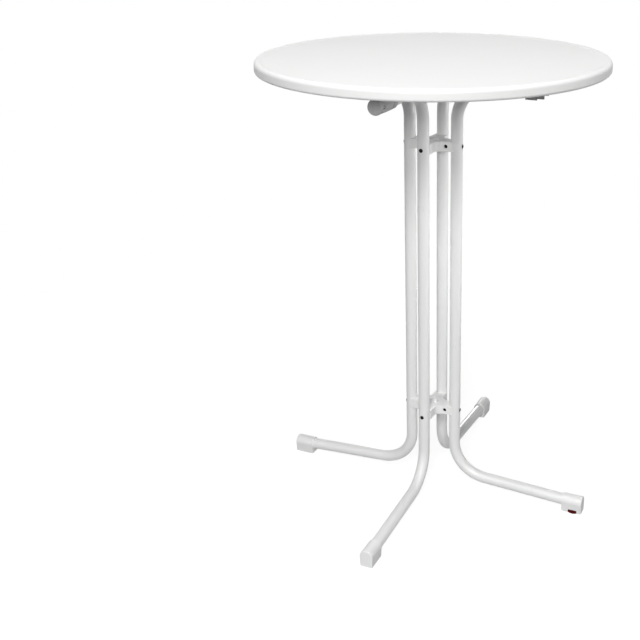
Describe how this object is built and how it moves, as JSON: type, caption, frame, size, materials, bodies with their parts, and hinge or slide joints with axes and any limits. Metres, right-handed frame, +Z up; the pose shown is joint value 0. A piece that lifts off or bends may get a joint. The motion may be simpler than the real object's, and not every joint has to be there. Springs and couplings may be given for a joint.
{
  "type": "high cocktail table",
  "caption": "Tall round cocktail table: moulded top that tips up on a hinge, bent tube legs bolted to cross connectors, foot caps and a levelling foot.",
  "frame": {"origin": "on the floor under the middle of the table", "axes": "+Z up; +X along the foot with the leveller; -Y along the arm with the hinge fitting seen in the picture"},
  "size_m": [0.8, 0.8, 1.1],
  "materials": {
    "top_white": "fine satin moulded surface",
    "frame_white": "white powder coat",
    "moulded_white": "satin moulded plastic",
    "dark_steel": "blackened",
    "bright_steel": "zinc plated",
    "brass": "turned",
    "leveller_red": "satin moulded plastic"
  },
  "bodies": {
    "base": {"leg_right": "frame_white", "leg_back": "frame_white", "leg_left": "frame_white", "leg_front": "frame_white", "foot_cap_right": "moulded_white", "foot_cap_back": "moulded_white", "foot_cap_left": "moulded_white", "foot_cap_front": "moulded_white", "upper_connector": "moulded_white", "upper_connector_bolts": "dark_steel", "upper_barrel_nuts": "dark_steel", "lower_connector": "moulded_white", "lower_connector_bolts": "dark_steel", "lower_barrel_nuts": "dark_steel", "hinge_socket_front": "moulded_white", "hinge_socket_left": "moulded_white", "hinge_pin_front": "bright_steel", "hinge_pin_left": "bright_steel", "arm_plug_right": "moulded_white", "arm_plug_back": "moulded_white", "leveller_insert": "brass"},
    "top": {"tabletop": "top_white", "hinge_bracket_front": "moulded_white", "hinge_bracket_left": "moulded_white", "hinge_screws_front": "bright_steel", "hinge_screws_left": "bright_steel", "clip_right": "moulded_white", "clip_back": "moulded_white", "clip_screws_right": "bright_steel", "clip_screws_back": "bright_steel"},
    "leveller_foot": {"leveller_pad": "leveller_red"},
    "leveller_screw": {"leveller_stud": "bright_steel"}
  },
  "joints": [
    {"name": "top_tip", "type": "hinge", "parent": "base", "child": "top", "pos_m": [0, -0.28, 1.041], "axis": [0.7071, -0.7071, 0], "range_deg": [0, 90]},
    {"name": "leveller_height", "type": "slide", "parent": "base", "child": "leveller_foot", "axis": [0, 0, 1], "range_m": [-0.0045, 0.0016]},
    {"name": "leveller_turn", "type": "hinge", "parent": "leveller_foot", "child": "leveller_screw", "pos_m": [0.378, 0, 0.02], "axis": [0, 0, 1], "range_deg": [-1296.7, 461.1]}
  ],
  "couplings": [
    {"joint": "leveller_turn", "follows": "leveller_height", "rad_per_m": 5026.5}
  ]
}
